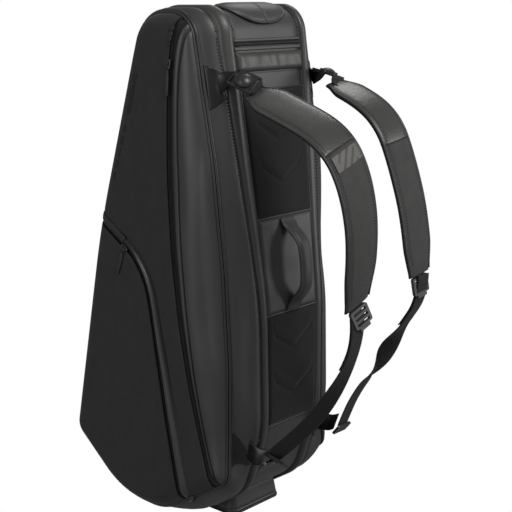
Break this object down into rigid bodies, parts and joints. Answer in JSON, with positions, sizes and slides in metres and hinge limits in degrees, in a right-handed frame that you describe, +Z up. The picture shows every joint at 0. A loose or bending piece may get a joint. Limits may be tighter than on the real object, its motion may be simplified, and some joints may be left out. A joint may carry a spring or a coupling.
{
  "type": "racket tournament bag",
  "caption": "Upright padded racket bag with zipped side faces, side pockets, a shoulder harness, a haul handle and a flat foot to stand on.",
  "frame": {"origin": "centre of the foot's underside, on the surface the bag stands on", "axes": "+Z up the standing bag, +Y from the harness towards the front edge, +X to the right face"},
  "size_m": [0.2872, 0.5746, 0.8052],
  "materials": {
    "coated_fabric": "satin coated fabric with a fine grain",
    "face_textile": "matt fine plain weave",
    "lining": "matt padded lining",
    "board": "matt sheet",
    "mesh": "matt spacer mesh with embossed channels",
    "foot_shell": "satin coated fabric",
    "sole_rubber": "matt rubber",
    "handle_pad": "satin coated fabric, piped edges",
    "piping": "satin bead",
    "zip_teeth": "moulded coil",
    "zip_metal": "satin black",
    "zip_pull": "matt moulded",
    "anchor_patch": "glossy reinforced fabric",
    "strap_coated": "satin coated fabric, stretched and shiny",
    "strap_textile": "matt fine weave",
    "webbing": "ribbed woven webbing",
    "buckle_plastic": "glossy moulded",
    "button_plastic": "polished dome",
    "lock_plastic": "satin moulded"
  },
  "bodies": {
    "root": {"top_panel": "coated_fabric", "bottom_panel": "coated_fabric", "back_panel": "coated_fabric", "front_panel": "coated_fabric", "divider": "lining", "back_board": "board", "lower_back_pad": "mesh", "handle_panel": "coated_fabric", "upper_back_pad": "mesh", "stow_band": "coated_fabric", "foot": "foot_shell", "foot_sole": "sole_rubber", "left_gusset": "coated_fabric", "left_edge_piping": "piping", "left_spine_border": "coated_fabric", "left_spine_zip": "zip_teeth", "left_upper_anchor": "anchor_patch", "left_lower_tab": "anchor_patch", "right_gusset": "coated_fabric", "right_edge_piping": "piping", "right_spine_border": "coated_fabric", "right_spine_zip": "zip_teeth", "right_upper_anchor": "anchor_patch", "right_lower_tab": "anchor_patch"},
    "left_lid": {"left_lid": "face_textile", "left_lid_zip": "zip_teeth", "left_pocket_panel": "face_textile", "left_pocket_zip": "zip_teeth"},
    "left_pocket_flap": {"left_pocket_flap": "face_textile"},
    "left_main_slider": {"left_main_slider": "zip_metal"},
    "left_main_pull": {"left_main_pull": "zip_pull"},
    "left_pocket_slider": {"left_pocket_slider": "zip_metal"},
    "left_pocket_pull": {"left_pocket_pull": "zip_pull"},
    "left_strap": {"left_strap_upper_pad": "strap_coated", "left_strap_lower_pad": "strap_textile", "left_strap_webbing": "webbing", "left_buckle": "buckle_plastic", "left_triglide": "buckle_plastic", "left_lower_anchor": "anchor_patch"},
    "left_buckle_button": {"left_buckle_button": "button_plastic"},
    "left_ladder_lock": {"left_ladder_lock": "lock_plastic"},
    "right_lid": {"right_lid": "face_textile", "right_lid_zip": "zip_teeth", "right_pocket_panel": "face_textile", "right_pocket_zip": "zip_teeth"},
    "right_pocket_flap": {"right_pocket_flap": "face_textile"},
    "right_main_slider": {"right_main_slider": "zip_metal"},
    "right_main_pull": {"right_main_pull": "zip_pull"},
    "right_pocket_slider": {"right_pocket_slider": "zip_metal"},
    "right_pocket_pull": {"right_pocket_pull": "zip_pull"},
    "right_strap": {"right_strap_upper_pad": "strap_coated", "right_strap_lower_pad": "strap_textile", "right_strap_webbing": "webbing", "right_buckle": "buckle_plastic", "right_triglide": "buckle_plastic", "right_lower_anchor": "anchor_patch"},
    "right_buckle_button": {"right_buckle_button": "button_plastic"},
    "right_ladder_lock": {"right_ladder_lock": "lock_plastic"},
    "haul_handle": {"haul_handle": "handle_pad"},
    "grab_handle": {"grab_handle": "handle_pad"}
  },
  "joints": [
    {"name": "left_lid_hinge", "type": "hinge", "parent": "root", "child": "left_lid", "pos_m": [-0.122, 0.1305, 0.459], "axis": [0, 0.2529, -0.9675], "range_deg": [0, 75]},
    {"name": "left_pocket_fold", "type": "hinge", "parent": "left_lid", "child": "left_pocket_flap", "pos_m": [-0.1385, -0.043, 0.053], "axis": [0, -0.3574, -0.9339], "range_deg": [0, 42]},
    {"name": "left_main_slider_travel", "type": "hinge", "parent": "left_lid", "child": "left_main_slider", "pos_m": [-0.137, -1.62242, 0.5772], "axis": [-1, 0, 0], "range_deg": [0, 22.23]},
    {"name": "left_main_pull_swing", "type": "hinge", "parent": "left_main_slider", "child": "left_main_pull", "pos_m": [-0.13957, -0.04448, 0.70634], "axis": [0, 0.9961, 0.0877], "range_deg": [0, 120]},
    {"name": "left_pocket_slider_travel", "type": "hinge", "parent": "left_pocket_flap", "child": "left_pocket_slider", "pos_m": [-0.1385, 0.11496, 0.33597], "axis": [1, 0, 0], "range_deg": [0, 47.5]},
    {"name": "left_pocket_pull_swing", "type": "hinge", "parent": "left_pocket_slider", "child": "left_pocket_pull", "pos_m": [-0.14107, 0.06207, 0.42137], "axis": [0, 0.9326, 0.361], "range_deg": [0, 120]},
    {"name": "left_strap_swing", "type": "hinge", "parent": "root", "child": "left_strap", "pos_m": [-0.1145, -0.148, 0.417], "axis": [0, 0, -1], "range_deg": [-8, 60]},
    {"name": "left_button_press", "type": "slide", "parent": "left_strap", "child": "left_buckle_button", "axis": [0.539, 0.4392, -0.7187], "range_m": [0, 0.002], "stiffness_N_per_m": 400},
    {"name": "left_ladder_lock_tilt", "type": "hinge", "parent": "left_strap", "child": "left_ladder_lock", "pos_m": [-0.08645, -0.35347, 0.39788], "axis": [-0.9211, 0.0794, -0.3811], "range_deg": [0, 35]},
    {"name": "right_lid_hinge", "type": "hinge", "parent": "root", "child": "right_lid", "pos_m": [0.122, 0.1305, 0.459], "axis": [0, -0.2529, 0.9675], "range_deg": [0, 75]},
    {"name": "right_pocket_fold", "type": "hinge", "parent": "right_lid", "child": "right_pocket_flap", "pos_m": [0.1385, -0.043, 0.053], "axis": [0, 0.3574, 0.9339], "range_deg": [0, 42]},
    {"name": "right_main_slider_travel", "type": "hinge", "parent": "right_lid", "child": "right_main_slider", "pos_m": [0.137, -1.62242, 0.5772], "axis": [-1, 0, 0], "range_deg": [0, 22.23]},
    {"name": "right_main_pull_swing", "type": "hinge", "parent": "right_main_slider", "child": "right_main_pull", "pos_m": [0.13957, -0.04448, 0.70634], "axis": [0, -0.9961, -0.0877], "range_deg": [0, 120]},
    {"name": "right_pocket_slider_travel", "type": "hinge", "parent": "right_pocket_flap", "child": "right_pocket_slider", "pos_m": [0.1385, 0.11496, 0.33597], "axis": [1, 0, 0], "range_deg": [0, 47.5]},
    {"name": "right_pocket_pull_swing", "type": "hinge", "parent": "right_pocket_slider", "child": "right_pocket_pull", "pos_m": [0.14107, 0.06207, 0.42137], "axis": [0, -0.9326, -0.361], "range_deg": [0, 120]},
    {"name": "right_strap_swing", "type": "hinge", "parent": "root", "child": "right_strap", "pos_m": [0.1145, -0.148, 0.417], "axis": [0, 0, 1], "range_deg": [-8, 60]},
    {"name": "right_button_press", "type": "slide", "parent": "right_strap", "child": "right_buckle_button", "axis": [-0.2009, 0.221, -0.9544], "range_m": [0, 0.002], "stiffness_N_per_m": 400},
    {"name": "right_ladder_lock_tilt", "type": "hinge", "parent": "right_strap", "child": "right_ladder_lock", "pos_m": [0.08416, -0.3369, 0.40896], "axis": [-0.9842, 0.0509, -0.1697], "range_deg": [0, 35]},
    {"name": "haul_handle_lift", "type": "slide", "parent": "root", "child": "haul_handle", "axis": [0, -0.3987, 0.9171], "range_m": [0, 0.012]},
    {"name": "grab_handle_swing", "type": "hinge", "parent": "root", "child": "grab_handle", "pos_m": [0, -0.1706, 0.339], "axis": [0, 0.1086, 0.9941], "range_deg": [-30, 30]}
  ]
}
